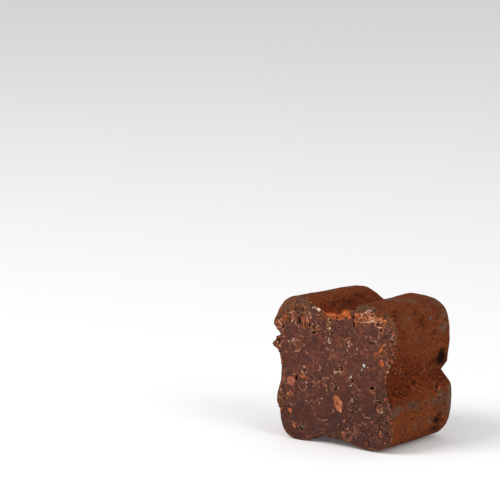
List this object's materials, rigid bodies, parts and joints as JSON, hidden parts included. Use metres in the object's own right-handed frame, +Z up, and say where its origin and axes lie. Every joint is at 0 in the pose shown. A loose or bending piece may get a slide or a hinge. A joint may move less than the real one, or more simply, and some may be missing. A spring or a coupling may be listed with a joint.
{
  "type": "chocolate truffle",
  "caption": "Cut piece of a cocoa-dusted chocolate truffle with a four-lobed square section, its cut face showing dark paste with cocoa nibs.",
  "frame": {"origin": "on the table under the middle of the truffle's box", "axes": "+Z up, +Y from the cut face to the rounded far end, +X to the right of someone looking at the cut"},
  "size_m": [0.0228, 0.0164, 0.0219],
  "materials": {
    "cocoa_paste": "matte"
  },
  "bodies": {
    "root": {"truffle": "cocoa_paste"}
  },
  "joints": []
}
